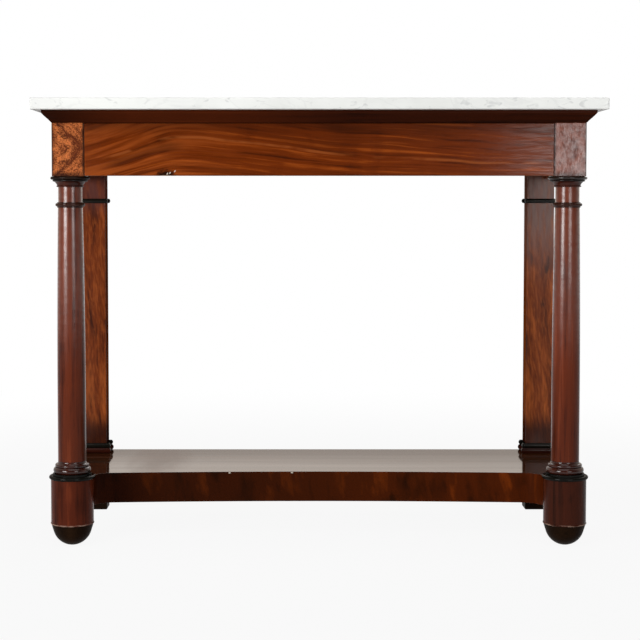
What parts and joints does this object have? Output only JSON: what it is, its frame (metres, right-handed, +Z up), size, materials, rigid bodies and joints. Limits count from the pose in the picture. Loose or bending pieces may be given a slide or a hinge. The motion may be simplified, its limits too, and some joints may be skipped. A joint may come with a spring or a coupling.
{
  "type": "pier table",
  "caption": "Marble-topped mahogany pier table with turned front columns, flat rear posts, a hollow-fronted low shelf and a hidden frieze drawer.",
  "frame": {"origin": "on the floor under the middle of the marble top", "axes": "+X to the right seen from the front, +Y towards the wall behind, +Z up"},
  "size_m": [1.158, 0.48, 0.915],
  "materials": {
    "marble": "honed white with faint grey veins",
    "mahogany": "french polished, figured",
    "ebonised_wood": "black stained and polished",
    "carcass_oak": "planed, unpolished",
    "screw_steel": "plain"
  },
  "bodies": {
    "table": {"back_frieze": "carcass_oak", "base_ring_left": "ebonised_wood", "base_ring_right": "ebonised_wood", "capital_left": "mahogany", "capital_plate_left": "ebonised_wood", "capital_plate_right": "ebonised_wood", "capital_right": "mahogany", "column_base_left": "mahogany", "column_base_right": "mahogany", "column_shaft_left": "mahogany", "column_shaft_right": "mahogany", "corner_block_left": "mahogany", "corner_block_right": "mahogany", "cornice_front": "mahogany", "cornice_left": "mahogany", "cornice_right": "mahogany", "drawer_guides": "carcass_oak", "drawer_kickers": "carcass_oak", "drawer_rail": "carcass_oak", "drawer_runners": "carcass_oak", "drum_dowels": "carcass_oak", "drum_left": "mahogany", "drum_right": "mahogany", "front_foot_left": "ebonised_wood", "front_foot_right": "ebonised_wood", "marble_top": "marble", "neck_ring_left": "ebonised_wood", "neck_ring_right": "ebonised_wood", "post_band_left": "ebonised_wood", "post_band_right": "ebonised_wood", "post_base_left": "mahogany", "post_base_right": "mahogany", "post_beads": "ebonised_wood", "rear_foot_left": "ebonised_wood", "rear_foot_right": "ebonised_wood", "rear_post_left": "mahogany", "rear_post_right": "mahogany", "shelf_back_rail": "carcass_oak", "shelf_board": "mahogany", "shelf_corner_blocks": "carcass_oak", "shelf_front_facing": "mahogany", "shelf_front_rail": "carcass_oak", "shelf_side_facing_left": "mahogany", "shelf_side_facing_right": "mahogany", "shelf_side_rail_left": "carcass_oak", "shelf_side_rail_right": "carcass_oak", "side_frieze_left": "mahogany", "side_frieze_right": "mahogany", "top_back_rail": "carcass_oak", "top_centre_rail": "carcass_oak", "top_front_rail": "carcass_oak", "top_left_rail": "carcass_oak", "top_right_rail": "carcass_oak", "top_screws": "screw_steel"},
    "drawer": {"drawer_front": "carcass_oak", "drawer_front_veneer": "mahogany", "drawer_side_left": "carcass_oak", "drawer_side_right": "carcass_oak", "drawer_back": "carcass_oak", "drawer_bottom": "carcass_oak"}
  },
  "joints": [
    {"name": "drawer_slide", "type": "slide", "parent": "table", "child": "drawer", "axis": [0, -1, 0], "range_m": [0, 0.25]}
  ]
}
